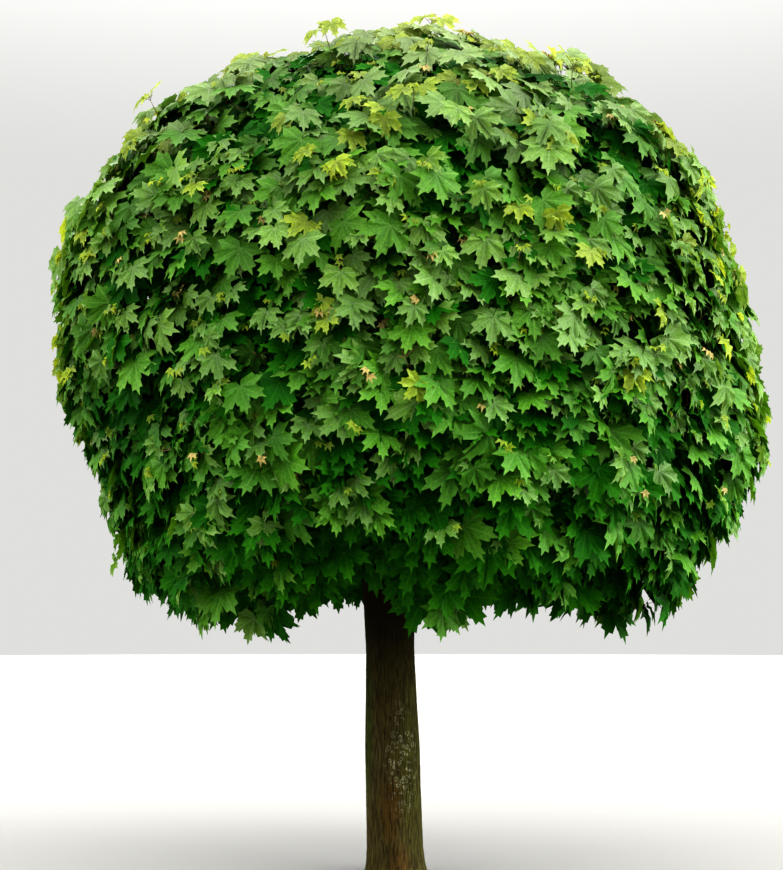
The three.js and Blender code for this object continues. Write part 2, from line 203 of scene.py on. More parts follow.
def placeOf(tree):
    return node(tree, "TexCoord").outputs["Object"]


def heightOf(tree):
    return node(tree, "SeparateXYZ", None, Vector=placeOf(tree)).outputs[2]


def grain(tree, scale, stretch, detail=4.0):
    # noise with so many features for each metre, drawn out along the limb
    turned = node(tree, "Mapping", None, Vector=placeOf(tree), Scale=stretch).outputs[0]
    return node(tree, "TexNoise", None, Vector=turned, Scale=scale, Detail=detail).outputs[0]


def addRelief(tree, shader, height, strength, depth, sunk=False):
    bump = node(tree, "Bump", {"invert": sunk}, Strength=strength, Distance=depth, Height=height)
    tree.links.new(bump.outputs[0], shader.inputs["Normal"])


trunkLook = {
    "roughness": 0.92,
    "shine": 0.15,
    "patches": (6.0, (1, 1, 0.5)),  # each grain: scale, stretch and detail
    "cracks": (150.0, (1, 1, 0.09), 8.0),
    "crumbs": (120.0, (1, 1, 0.8), 5.0),
    "ridge": (0.057, 0.044, 0.01),
    "grey": (0.068, 0.058, 0.018),
    "patchEdges": (0.38, 0.62),
    "places": (  # a tone on the trunk: its colour, middle, how far it reaches, and how fully it covers
        ((0.049, 0.05, 0.008), (0.13, -0.08, 0.55), (0.17, 0.2, 0.75), 0.9),
        ((0.072, 0.038, 0.006), (-0.02, -0.15, 0.34), (0.08, 0.1, 0.22), 0.75),
        ((0.072, 0.038, 0.006), (0.03, -0.15, 0.02), (0.1, 0.1, 0.2), 0.8),
        ((0.033, 0.052, 0.003), (-0.16, -0.04, 0.8), (0.07, 0.16, 0.62), 1.0),
        ((0.033, 0.052, 0.003), (0.03, 0.15, 0.4), (0.16, 0.12, 0.6), 0.9),
    ),
    "placeCracks": (0.25, 0.55),
    "leastCover": 0.4,
    "lichen": (0.28, 0.28, 0.18),
    "lichenPlace": ((0.04, -0.135, 0.6), (0.12, 0.13, 0.38)),
    "lichenCover": 0.6,
    "shade": (0.016, 0.014, 0.002),  # under the crown
    "shadeHeights": (0.85, 1.35),
    "furrow": (0.013, 0.009, 0.002),
    "crackEdges": (0.6, 0.38),
    "crackCover": 0.75,
    "furrowCover": 0.5,
    "relief": (0.8, 0.004),
}

# the lichen's curls: broken rings round scattered points
curls = {
    "bend": (38.0, 2.0),
    "bendSize": (0.02, 0.02, 0.02),
    "scale": 34.0,
    "inside": (0.14, 0.26),
    "outside": (0.48, 0.36),
    "broken": (0.4, 0.5),
}


def nearPlace(tree, middle, reach, full=0.35):
    # 1 round a place on the trunk, out to a share of its reach, and 0 beyond the reach
    settings = {"vector_type": "TEXTURE"}
    centred = node(tree, "Mapping", settings, Vector=placeOf(tree), Location=middle, Scale=reach).outputs[0]
    away = node(tree, "VectorMath", {"operation": "LENGTH"}, i0=centred).outputs["Value"]
    return rangeOf(tree, away, 1.0, full)


def lichenCrust(tree, crumbs):
    place = placeOf(tree)
    scale, detail = curls["bend"]
    bent = node(tree, "TexNoise", None, Vector=place, Scale=scale, Detail=detail).outputs["Color"]
    shift = node(tree, "VectorMath", {"operation": "MULTIPLY_ADD"}, i0=bent, i1=curls["bendSize"], i2=place)
    spots = node(tree, "TexVoronoi", {"feature": "F1"}, Vector=shift.outputs[0], Scale=curls["scale"])
    away = spots.outputs["Distance"]
    inside, outside = rangeOf(tree, away, *curls["inside"]), rangeOf(tree, away, *curls["outside"])
    ring = sums(tree, "MULTIPLY", inside, outside)
    return sums(tree, "MULTIPLY", ring, rangeOf(tree, crumbs, *curls["broken"]))


def trunkBark():
    look = trunkLook
    finish, tree, shader = newFinish("trunkBark", look["roughness"], look["shine"])
    cracks = grain(tree, *look["cracks"])
    patches = rangeOf(tree, grain(tree, *look["patches"]), *look["patchEdges"])
    skin = blendColour(tree, patches, colour(look["ridge"]), colour(look["grey"]))
    for tone, middle, reach, full in look["places"]:
        cover = rangeOf(tree, cracks, *look["placeCracks"], (look["leastCover"], full))
        share = sums(tree, "MULTIPLY", nearPlace(tree, middle, reach), cover)
        skin = blendColour(tree, share, skin, colour(tone))
    crust = lichenCrust(tree, grain(tree, *look["crumbs"]))
    crust = sums(tree, "MULTIPLY", crust, nearPlace(tree, *look["lichenPlace"]))
    skin = blendColour(tree, sums(tree, "MULTIPLY", crust, look["lichenCover"]), skin, colour(look["lichen"]))
    shaded = rangeOf(tree, heightOf(tree), *look["shadeHeights"])
    skin = blendColour(tree, shaded, skin, colour(look["shade"]))
    cracked = rangeOf(tree, cracks, *look["crackEdges"], (0.0, look["crackCover"]))
    skin = blendColour(tree, cracked, skin, colour(look["furrow"]))
    furrow = node(tree, "Attribute", {"attribute_name": "furrow"}).outputs["Fac"]
    furrow = sums(tree, "MULTIPLY", furrow, look["furrowCover"])
    skin = blendColour(tree, furrow, skin, colour(look["furrow"]))
    tree.links.new(skin, shader.inputs["Base Color"])
    addRelief(tree, shader, cracks, *look["relief"])
    return finish


limbLook = {
    "roughness": 0.85,
    "shine": 0.22,
    "grain": (60.0, (1, 1, 0.4), 6.0),
    "edges": (0.35, 0.65),
    "tones": ((0.035, 0.027, 0.02), (0.15, 0.115, 0.08)),
    "relief": (0.5, 0.002),
}
shootLook = {
    "roughness": 0.6,
    "shine": 0.3,
    "grain": (40.0, (1, 1, 1), 3.0),
    "edges": (0.35, 0.65),
    "tones": ((0.07, 0.045, 0.022), (0.13, 0.15, 0.045)),
}
stalkLook = {
    "roughness": 0.5,
    "shine": 0.35,
    "grain": (3.0, (1, 1, 1)),
    "edges": (0.4, 0.6),
    "tones": ((0.13, 0.17, 0.04), (0.24, 0.1, 0.05)),
}


def twoToned(name, look):
    # two tones blended by a grain, with its relief where the look has one
    finish, tree, shader = newFinish(name, look["roughness"], look["shine"])
    fine = grain(tree, *look["grain"])
    first, second = look["tones"]
    skin = blendColour(tree, rangeOf(tree, fine, *look["edges"]), colour(first), colour(second))
    tree.links.new(skin, shader.inputs["Base Color"])
    if "relief" in look:
        addRelief(tree, shader, fine, *look["relief"])
    return finish


leafTones = {  # blade, vein and tip highlight, how much light comes through, shine, and the painted sheen: a pale painted reflection of the sky on the highest leaves
    "deep": ((0.009, 0.08, 0.001), (0.022, 0.12, 0.004), 0.15, 0.05, 0.0),
    "mid": ((0.057, 0.172, 0.004), (0.1, 0.229, 0.025), 0.28, 0.19, 0.18),
    "light": ((0.103, 0.222, 0.017), (0.168, 0.283, 0.078), 0.38, 0.34, 0.44),
    "young": ((0.235, 0.33, 0.016), (0.29, 0.375, 0.042), 0.48, 0.34, 0.26),
    "bronze": ((0.39, 0.31, 0.1), (0.44, 0.36, 0.13), 0.3, 0.3, 0.0),
}

# by the leaf's own map: U is 0 on a main vein and 1 between two, V runs from the stalk to the tip
leafLook = {
    "roughness": 0.55,
    "mainVein": (0.1, 0.02),
    "sideVeins": (46.0, -9.0),  # how close they lie, and how far they slant
    "sideVein": (0.8, 1.0, (0.0, 0.45)),
    "rim": (0.35, 0.95, (0.0, 0.75)),  # paler towards the tips of the lobes, partly the leaf's own paler margin and partly a painted highlight
    # the colour of the painted sheen, a painted reflection of the sky, and the heights over which it comes in
    "paintedSheen": (0.28, 0.275, 0.175),
    "paintedSheenHeights": (3.2, 4.4),
    "mottle": (90.0, (1, 1, 1), 3.0),
    "mottleSize": (0.3, 0.7, (0.82, 1.14)),
    "middle": (0.05, 0.5, (0.84, 1.03)),  # a little darker round the stalk, painted shade where the lobes meet
    "hue": (0.75, 1.25, (0.506, 0.494)),  # darker leaves are a little bluer
    "lowHue": (2.9, 1.9, (0.0, 0.009)),  # and so are the low ones, a painted shade tint in the lower crown, apart from the deep and bronze tones
    "relief": (0.3, 0.0012),
    "glowHue": 0.48,
    "glowValue": 1.15,
}


def leafSkin(name):
    blade, veinAndHighlight, through, shine, paintedSheen = leafTones[name]
    look = leafLook
    finish, tree, shader = newFinish(f"{name}Leaf", look["roughness"], shine)
    place = node(tree, "SeparateXYZ", None, Vector=node(tree, "UVMap", {"uv_map": "leafMap"}).outputs[0])
    across, along = place.outputs[0], place.outputs[1]
    close, slant = look["sideVeins"]
    lines = sums(tree, "ADD", sums(tree, "MULTIPLY", along, close), sums(tree, "MULTIPLY", across, slant))
    side = rangeOf(tree, sums(tree, "SINE", lines), *look["sideVein"])
    veins = sums(tree, "MAXIMUM", rangeOf(tree, across, *look["mainVein"]), side)
    # the veins' own paler colour, and towards the lobe tips a painted highlight, partly their own paler
    # margin
    veinsAndTipHighlight = sums(tree, "MAXIMUM", veins, rangeOf(tree, along, *look["rim"]))
    skin = blendColour(tree, veinsAndTipHighlight, colour(blade), colour(veinAndHighlight))
    height = heightOf(tree)
    # painted sheen: the highest leaves are painted paler, as if reflecting the sky
    high = rangeOf(tree, height, *look["paintedSheenHeights"], (0.0, paintedSheen))
    skin = blendColour(tree, high, skin, colour(look["paintedSheen"]))
    tone = node(tree, "Attribute", {"attribute_name": "tone"}).outputs["Fac"]
    tone = sums(tree, "MULTIPLY", tone, rangeOf(tree, grain(tree, *look["mottle"]), *look["mottleSize"]))
    # painted shade darkens the tone round the stalk
    tone = sums(tree, "MULTIPLY", tone, rangeOf(tree, along, *look["middle"]))
    hue = rangeOf(tree, tone, *look["hue"])
    # a painted shade tint makes the low leaves a little bluer
    if paintedSheen:
        hue = sums(tree, "ADD", hue, rangeOf(tree, height, *look["lowHue"]))
    shaded = node(tree, "HueSaturation", None, Hue=hue, Value=tone, Color=skin).outputs[0]
    tree.links.new(shaded, shader.inputs["Base Color"])
    addRelief(tree, shader, veins, *look["relief"], sunk=True)
    sunlit = node(tree, "HueSaturation", None, Hue=look["glowHue"], Value=look["glowValue"], Color=shaded)
    glow = node(tree, "BsdfTranslucent", None, Color=sunlit.outputs[0])
    both = node(tree, "MixShader", None, i0=through, i1=shader.outputs[0], i2=glow.outputs[0])
    tree.links.new(both.outputs[0], tree.nodes["Material Output"].inputs["Surface"])
    return finish


def finishPiece(name, mesh, skin, nodes):
    piece = bpy.data.objects.new(name, mesh)
    bpy.context.scene.collection.objects.link(piece)
    mesh.materials.append(skin)
    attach(piece, "root")
    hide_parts(*nodes)
    allPieces.append(piece)


def ringedTube(name, sides, rings, place, attributes=()):
    # a closed tube of many rings; place gives each point for its share of the length and its turn
    shape = bmesh.new()
    bmesh.ops.create_cone(shape, cap_ends=True, segments=sides, radius1=1, radius2=1, depth=1)
    if rings > 1:
        lengthways = [e for e in shape.edges if e.verts[0].co.z != e.verts[1].co.z]
        bmesh.ops.subdivide_edges(shape, edges=lengthways, cuts=rings - 1, use_grid_fill=True)
    layers = [shape.verts.layers.float.new(a) for a in attributes]
    for vert in shape.verts:
        where, values = place(vert.co.z + 0.5, math.atan2(vert.co.y, vert.co.x))
        vert.co = where
        for layer, value in zip(layers, values):
            vert[layer] = value
    for face in shape.faces:
        face.smooth = len(face.verts) == 4
    mesh = bpy.data.meshes.new(name)
    shape.to_mesh(mesh)
    shape.free()
    return mesh


def meshOfCopies(name, points, corners, starts, maps=None, tones=None):
    # one mesh of many copies of a small shape: points is copies x corners x 3
    copies, each = points.shape[:2]
    mesh = bpy.data.meshes.new(name)
    mesh.vertices.add(copies * each)
    mesh.vertices.foreach_set("co", points.ravel())
    loops = (corners[None] + each * np.arange(copies)[:, None]).ravel()
    mesh.loops.add(len(loops))
    mesh.loops.foreach_set("vertex_index", loops)
    firsts = (starts[None] + len(corners) * np.arange(copies)[:, None]).ravel()
    mesh.polygons.add(len(firsts))
    mesh.polygons.foreach_set("loop_start", firsts)
    if maps is not None:
        layer = mesh.uv_layers.new(name="leafMap")
        layer.data.foreach_set("uv", np.tile(maps[corners], (copies, 1)).ravel())
    if tones is not None:
        layer = mesh.attributes.new("tone", "FLOAT", "POINT")
        layer.data.foreach_set("value", np.repeat(tones, each))
    mesh.update(calc_edges=True)
    mesh.validate()
    mesh.shade_smooth()
    return mesh


trunk = {
    "stations": (  # height and radius
        (0.0, 0.161),
        (0.03, 0.151),
        (0.11, 0.146),
        (0.37, 0.145),
        (0.65, 0.145),
        (0.9, 0.136),
        (1.16, 0.129),
        (1.38, 0.136),
        (1.56, 0.148),
        (1.7, 0.166),
        (1.81, 0.178),
        (1.9, 0.168),
        (1.96, 0.132),
        (1.99, 0.07),
    ),
    "soften": 0.02,
    "lean": -0.023,
    "flutes": ((3, 0.6, 0.022), (5, 2.1, 0.015)),  # count, offset and size
    "rootRidges": (5, 0.9, 0.09, 0.15),  # count, offset, size, and the height by which they fade
    "sides": 220,
    "rings": 340,
    "barkRadius": 0.14,  # of the round that the bark's noise is laid on
    "furrowDepth": 0.0028,
    "furrowsAcross": 70.0,  # features for each metre
    "furrowsUp": 6.0,
    "furrowWidth": 0.15,
    "furrowSway": (0.3, 9, 5),  # size, and features across and up
    "narrow": (2.1, 2.3, 7),  # how much finer the narrow furrows are across and up, and their offset
    "narrowWidth": 0.16,
    "narrowDepth": 0.5,
    "furrowEdge": 1.5,
    "flakes": (0.001, 110, 45),  # size, and features across and up
}


def trunkAxis(height):
    return np.array((trunk["lean"] * height, 0.0, height))


def trunkRadius(height, turn):
    heights, radii = zip(*trunk["stations"])
    steps = (-trunk["soften"], 0.0, trunk["soften"])
    radius = sum(np.interp(height + step, heights, radii) for step in steps) / len(steps)
    share = 1.0
    for count, offset, size in trunk["flutes"]:
        share += size * math.cos(count * turn + offset)
    count, offset, size, fade = trunk["rootRidges"]
    share += size * math.exp(-height / fade) * math.cos(count * turn + offset)
    return radius * share


def trunkFurrow(x, y, height):
    # 0 on a ridge and 1 in the middle of a furrow
    across, rise = trunk["furrowsAcross"], trunk["furrowsUp"]
    size, swayAcross, swayUp = trunk["furrowSway"]
    sway = size * noise.noise(Vector((x * swayAcross, y * swayAcross, height * swayUp)))
    broad = noise.noise(Vector((x * across + sway, y * across, height * rise)))
    finer, higher, offset = trunk["narrow"]
    narrow = noise.noise(Vector((x * across * finer, y * across * finer + offset, height * rise * higher)))
    furrow = max(0.0, 1 - abs(broad) / trunk["furrowWidth"])
    furrow += trunk["narrowDepth"] * max(0.0, 1 - abs(narrow) / trunk["narrowWidth"])
    return min(1.0, furrow)


def trunkPoint(along, turn):
    height = along * trunk["stations"][-1][0]
    x, y = math.cos(turn) * trunk["barkRadius"], math.sin(turn) * trunk["barkRadius"]
    furrow = trunkFurrow(x, y, height)
    size, flakesAcross, flakesUp = trunk["flakes"]
    flake = noise.noise(Vector((x * flakesAcross, y * flakesAcross, height * flakesUp)))
    out = trunkRadius(height, turn) + (size * flake - trunk["furrowDepth"] * furrow)
    ring = np.array((out * math.cos(turn), out * math.sin(turn), 0.0))
    return trunkAxis(height) + ring, (furrow ** trunk["furrowEdge"],)


def trunkPiece():
    mesh = ringedTube("stem", trunk["sides"], trunk["rings"], trunkPoint, ("furrow",))
    finishPiece("stem", mesh, trunkBark(), ["trunk"])


rings = (
    {
        "name": "skirt",
        "count": 8,
        "turn": 0.2,
        "massRadius": 1.44,
        "massHeight": 2.11,
        "stagger": 0.17,
        "dip": 0.12,
        "rootRadius": 0.092,
        "rootHeight": 1.8,
        "boughRadius": 0.047,
    },
    {
        "name": "shoulder",
        "count": 5,
        "turn": 0.75,
        "massRadius": 1.11,
        "massHeight": 3.54,
        "stagger": 0.12,
        "dip": 0.25,
        "rootRadius": 0.058,
        "rootHeight": 1.88,
        "boughRadius": 0.042,
    },
    {
        "name": "top",
        "count": 1,
        "turn": 0.0,
        "massRadius": 0.0,
        "massHeight": 4.01,
        "stagger": 0.0,
        "dip": 0.0,
        "rootRadius": 0.0,
        "rootHeight": 1.88,
        "boughRadius": 0.044,
    },
)

bough = {
    "tipRadius": 0.019,
    "stemTip": 0.006,
    "taper": 0.8,
    "flatness": 0.05,
    "entry": 0.93,  # share of the hollow where a bough enters its mass
    "entryStep": 0.002,
    "approach": 0.3,
    "sway": 0.05,
    "sides": 20,
    "rings": 70,
    "knots": 0.0022,
    "knotsAlong": 9,  # features for each metre
    "knotsAround": 1.2,
}


def boughSites():
    sites = []
    for ring in rings:
        for i in range(ring["count"]):
            seat = len(sites)
            turn = ring["turn"] + i * 2 * math.pi / ring["count"]
            out = np.array((math.cos(turn), math.sin(turn), 0.0))
            sway = 1 + spread(seat, 1, bough["sway"])
            level = ring["massHeight"] + (ring["stagger"] if i % 2 else -ring["stagger"])
            middle = np.array((*crown["centre"][:2], level)) + out * ring["massRadius"] * sway
            root = trunkAxis(ring["rootHeight"]) + out * ring["rootRadius"]
            heading = unit(middle - root)
            heading[2] -= ring["dip"]
            heading = unit(heading)
            entry = middle.copy()
            while hollowShare(entry[None])[0] > bough["entry"]:
                entry -= bough["entryStep"] * heading
            name = f"{ring['name']}_{i + 1}" if ring["count"] > 1 else ring["name"]
            bend = entry - heading * bough["approach"] if ring["massRadius"] else (root + entry) / 2
            end = entry + heading * np.linalg.norm(middle - entry)
            sites.append(
                {"seat": seat, "name": name, "middle": middle, "rootRadius": ring["boughRadius"]}
                | {"root": root, "bend": bend, "entry": entry, "end": end}
            )
    return sites


def boughPoint(site, along, turn):
    # the first part is the bough's curve and the rest is the straight stem in its mass
    root, bend, entry, end = site["root"], site["bend"], site["entry"], site["end"]
    whole = np.linalg.norm(entry - root) + np.linalg.norm(end - entry)
    share = np.linalg.norm(entry - root) / whole
    if along < share:
        t = along / share
        point = onCurve(t, root, bend, entry)
        tangent = (1 - t) * (bend - root) + t * (entry - bend)
        radius = site["rootRadius"] + (bough["tipRadius"] - site["rootRadius"]) * t ** bough["taper"]
    else:
        t = (along - share) / (1 - share)
        point = entry + t * (end - entry)
        tangent = end - entry
        radius = bough["tipRadius"] + (bough["stemTip"] - bough["tipRadius"]) * t
    radius *= 1 + bough["flatness"] * math.cos(2 * turn + site["seat"])
    facing = up.rotation_difference(Vector(tangent))
    around = Vector((math.cos(turn), math.sin(turn), 0))
    swirl = noise.noise(Vector(point) * bough["knotsAlong"] + around * bough["knotsAround"])
    around.rotate(facing)
    return Vector(point) + around * (radius + bough["knots"] * swirl), ()


def boughPieces(sites, bark):
    for site in sites:
        where = lambda along, turn, site=site: boughPoint(site, along, turn)
        mesh = ringedTube(f"limb_{site['name']}", bough["sides"], bough["rings"], where)
        finishPiece(f"limb_{site['name']}", mesh, bark, [f"bough_{site['name']}"])


def tubes(name, lines, radii, sides, skin):
    # many thin tapered tubes in one mesh: lines is tubes x steps x 3, radii tubes x steps
    steps = lines.shape[1]
    heading = unit(lines[:, -1] - lines[:, 0])
    upright = np.abs(heading[:, 2:]) > 0.9
    helper = np.where(upright, (1.0, 0.0, 0.0), (0.0, 0.0, 1.0))
    first = unit(np.cross(heading, helper))[:, None]
    second = np.cross(heading, first[:, 0])[:, None]
    pattern = ringedTube("pattern", sides, steps - 1, lambda along, turn: ((along, turn, 0), ()))
    flat = np.array([v.co[:] for v in pattern.vertices])
    ring = np.round(flat[:, 0] * (steps - 1)).astype(int)
    turn = flat[:, 1, None] - np.pi / 2  # the pattern starts on Y
    points = lines[:, ring] + radii[:, ring, None] * (np.cos(turn) * first + np.sin(turn) * second)
    corners = np.array([v for p in pattern.polygons for v in p.vertices])
    starts = np.array([p.loop_start for p in pattern.polygons])
    bpy.data.meshes.remove(pattern)
    finishPiece(name, meshOfCopies(name, points, corners, starts), skin, foliageNodes)


def twigs(name, grown, twig, bark):
    t = np.linspace(0, 1, twig["steps"])[None, :, None]
    lines = onCurve(t, grown["roots"][:, None], grown["bends"][:, None], grown["tips"][:, None])
    radii = np.tile(np.linspace(twig["radius"], twig["tipRadius"], twig["steps"]), (len(lines), 1))
    tubes(name, lines, radii, twig["sides"], bark)


# how the hanging rim and the dome depart from the even outline
rim = {
    "drapes": (  # turn, width and drop
        (0.6, 0.03, 0.03),
        (0.634, 0.025, 0.06),
        (0.69, 0.022, 0.11),
        (0.715, 0.018, -0.13),
        (0.741, 0.012, -0.1),
        (0.7685, 0.014, 0.1),
        (0.828, 0.018, 0.12),
        (0.862, 0.02, -0.03),
        (0.93, 0.014, 0.12),
        (0.05, 0.03, -0.06),
        (0.15, 0.05, -0.12),
        (0.3, 0.03, 0.06),
        (0.42, 0.04, 0.04),
    ),
    "inner": (0.4, 0.6),  # shares of the radius where the drop starts and is full
}
dome = {
    "depth": 0.04,  # how much lower its shoulders lie
    "slope": (0.0, 0.5),
    "top": (0.93, 0.98),
    "topShare": 0.6,
}


def rimDrop(ways):
    # how far the rim hangs below the even outline, or is drawn up
    outline = crownPoint(ways, 1)
    turn = np.arctan2(ways[:, 1], ways[:, 0]) / (2 * np.pi)
    drop = np.zeros(len(ways))
    for place, width, size in rim["drapes"]:
        drop += size * np.exp(-((np.mod(turn - place + 0.5, 1) - 0.5) / width) ** 2)
    flat = np.hypot(*(outline - crown["centre"]).T[:2]) / crown["radius"]
    return drop * ramp(flat, *rim["inner"]) * lowness(ways)


def domeDip(ways):
    # the dome's shoulders lie lower than the even outline, and its very top less so
    rise = crownNormal(crownPoint(ways, 1))[:, 2]
    return dome["depth"] * ramp(rise, *dome["slope"]) * (1 - dome["topShare"] * ramp(rise, *dome["top"]))


# depths, reaches and limits are shares of the crown, with 1 on its outline
spray = {"count": 366, "depth": 0.925, "depthSpread": 0.03, "lowDepth": 0.12, "limit": 0.965}
sprigs = {
    "count": 24,
    "lowest": 0.1,
    "turn": 2.54,
    "depth": 0.97,  # of the branchlet that bears one
    "reach": 1.008,
    "limit": 1.04,
    "missing": 0.1,
    "largestLeaf": 0.125,
}
branchlet = {
    "radius": 0.0085,
    "tipRadius": 0.0035,
    "stemShares": (0.3, 0.95),
    "inset": 0.1,
    "bend": 0.35,
    "lift": 0.05,
    "steps": 6,
    "sides": 5,
}
shoots = {
    "each": 4,  # for each place of the solids' leaves
    "turn": 0.7,
    "depth": 0.962,
    "depthSpread": 0.07,
    "lowDepth": 0.09,
    "tierHeight": 0.3,  # the leaves lie in loose tiers
    "tierTwist": 3,
    "tierDepth": 0.02,
    "clumps": 4.2,  # for each metre
    "clumpDepth": 0.05,
    "fringe": 0.16,  # spread of the hanging rim
    "floor": 1.3,
    "limit": 1.008,
    "rootShares": (0.5, 0.97),
    "rise": 0.35,
    "steepest": -0.2,
    "headingSpread": 0.5,
    "bend": 0.14,
    "radius": 0.0036,
    "tipRadius": 0.0016,
    "steps": 4,
    "sides": 4,
}


def sprigPoints(share):
    ways = goldenWays(np.arange(sprigs["count"]), sprigs["count"], sprigs["turn"], sprigs["lowest"])
    return crownPoint(ways, share)


def growBranchlets(sites):
    # the places of the solids' leaves, by the same golden angle, each with a branchlet from its mass's stem
    order = np.arange(spray["count"])
    ways = goldenWays(order, spray["count"])
    depth = spray["depth"] + spread(order, 21, spray["depthSpread"]) - spray["lowDepth"] * lowness(ways) ** 2
    tips = crownPoint(ways, depth - domeDip(ways))
    tips[:, 2] -= rimDrop(ways)
    tips = np.concatenate((tips, sprigPoints(sprigs["depth"])))
    seats = np.arange(len(tips))
    kept = hollowShare(tips) > hollow["bare"]
    tips, seats = tips[kept], seats[kept]
    middles = np.array([s["middle"] for s in sites])
    owner = np.linalg.norm(tips[:, None] - middles[None], axis=2).argmin(axis=1)
    entries = np.array([s["entry"] for s in sites])[owner]
    ends = np.array([s["end"] for s in sites])[owner]
    low, high = branchlet["stemShares"]
    share = (low + (high - low) * chance(seats, 31))[:, None]
    roots = entries + (ends - entries) * share
    heading = crownNormal(tips)
    tops = tips - branchlet["inset"] * heading
    long = np.linalg.norm(tops - roots, axis=1, keepdims=True)
    bend = roots + unit(ends - entries) * long * branchlet["bend"]
    bend[:, 2] += branchlet["lift"]
    limit = np.full(len(tips), spray["limit"])
    growth = {"tips": tops, "seats": seats, "roots": roots, "bends": bend, "heading": heading}
    return growth | {"limit": limit, "outer": tips}


def growShoots(grown):
    # finer shoots on the same spiral, each from the nearest branchlet
    count = shoots["each"] * spray["count"]
    order = np.arange(count)
    ways = goldenWays(order, count, shoots["turn"])
    outline = crownPoint(ways, 1)
    around = np.arctan2(ways[:, 1], ways[:, 0])
    tier = np.cos(2 * np.pi * outline[:, 2] / shoots["tierHeight"] + shoots["tierTwist"] * around)
    depth = shoots["depth"] + spread(order, 41, shoots["depthSpread"]) + shoots["tierDepth"] * tier
    depth += shoots["clumpDepth"] * np.array([noise.noise(Vector(p) * shoots["clumps"]) for p in outline])
    low = lowness(ways)
    depth -= domeDip(ways) + shoots["lowDepth"] * low**2
    tips = crownPoint(ways, np.minimum(depth, 1.0))
    drop = rimDrop(ways) + low * spread(order, 47, shoots["fringe"])
    tips[:, 2] = np.maximum(tips[:, 2] - drop, shoots["floor"])
    limit = shoots["limit"] + np.maximum(drop, 0) / crown["skirtHeight"]
    kept = hollowShare(tips) > hollow["bare"]
    tips = np.concatenate((tips[kept], sprigPoints(sprigs["reach"])))
    order = np.concatenate((order[kept], count + np.arange(sprigs["count"])))
    limit = np.concatenate((limit[kept], np.full(sprigs["count"], sprigs["limit"])))
    nearest = np.linalg.norm(tips[:, None] - grown["outer"][None], axis=2).argmin(axis=1)
    low, high = shoots["rootShares"]
    t = (low + (high - low) * chance(order, 42))[:, None]
    roots = onCurve(t, grown["roots"][nearest], grown["bends"][nearest], grown["tips"][nearest])
    heading = crownNormal(tips)
    heading[:, 2] = np.maximum(heading[:, 2], shoots["steepest"]) + shoots["rise"]
    heading += np.stack([spread(order, 43 + k, shoots["headingSpread"]) for k in range(3)], axis=1)
    heading = unit(heading)
    bend = tips - heading * shoots["bend"]
    return {"tips": tips, "seats": order, "roots": roots, "bends": bend, "heading": heading, "limit": limit}


# a full-grown leaf's outline from its tip round one side: degrees, reach, and how far from a main vein
leafOutline = (
    (0, 1.0, 0),
    (4.5, 0.81, 0.25),
    (12, 0.85, 0.45),
    (13.5, 0.66, 0.5),
    (20, 0.64, 0.7),
    (25, 0.53, 1),
    (32, 0.76, 0.5),
    (40, 0.75, 0.3),
    (46, 0.97, 0),
    (51, 0.77, 0.3),
    (61, 0.8, 0.5),
    (64, 0.62, 0.7),
    (74, 0.53, 1),
    (86, 0.62, 0.3),
    (97, 0.77, 0),
    (106, 0.56, 0.4),
    (121, 0.55, 0.6),
    (158, 0.2, 1),
)
youngOutline = ((0, 1.0, 0), (21, 0.5, 1), (45, 0.88, 0), (71, 0.4, 1), (104, 0.55, 0), (150, 0.12, 1))
heel = -0.04  # where the blade ends behind its stalk

# how far a blade folds up between its main veins, by its reach, and how far it droops ahead and sideways
bladeForm = {"foldReach": 0.5, "fold": 0.5, "droopAhead": 0.7, "droopSideways": 0.4}

# each pair of leaves: how far behind the tip, stalk, size, shape, fold, droop, age, and the share missing
pairValues = ("back", "stalk", "size", "shape", "fold", "droop", "age", "missing")
shootPairs = (
    (0.0, 0.018, 0.038, "tip", 0.5, 0.35, 3.1, 0.3),
    (0.035, 0.06, 0.1, "outer", 0.3, 0.45, 2.2, 0.4),
    (0.09, 0.105, 0.142, "outer", 0.17, 0.45, 1.5, 0.08),
    (0.17, 0.13, 0.15, "outer", 0.16, 0.4, 1.0, 0.08),
    (0.27, 0.13, 0.14, "inner", 0.15, 0.14, 0.4, 0.08),
)
branchletPairs = (  # in the shade
    (0.02, 0.12, 0.14, "inner", 0.15, 0.14, 0.0, 0.08),
    (0.1, 0.12, 0.14, "inner", 0.15, 0.14, -0.3, 0.08),
    (0.19, 0.12, 0.14, "inner", 0.15, 0.14, -0.5, 0.08),
    (0.29, 0.12, 0.14, "inner", 0.15, 0.14, -0.5, 0.08),
)
leaf = {
    "sizeSpread": 0.34,
    "lowSize": 0.16,  # the lowest leaves are larger by this share
    "lowSizeHeights": (2.6, 1.4),
    "widthSpread": 0.2,
    "foldSpread": 1.2,
    "droopSpread": 1.6,
    "leastShare": 0.08,  # of a shoot's length, for the pair that sits nearest to its root
    "stalkOut": (0.85, 0.5, 0.15),  # how far a stalk points sideways, ahead and up
    "stalkSpread": 0.5,
    "stalkRadius": 0.0014,
    "stalkSides": 3,
    "flatten": 0.8,  # how much less a leaf stands off where the crown faces up
    "hang": 1.4,
    "flare": 0.6,
    "flareSpread": 0.7,
    "sideways": 0.6,  # how far a leaf's tip turns towards its own side of the shoot
    "lowest": -0.12,
    "roll": 1.1,
    "limitSpread": 0.03,
    "floor": 1.2,
    "mostOnShoot": 20,  # keeps the draws of two shoots apart
}


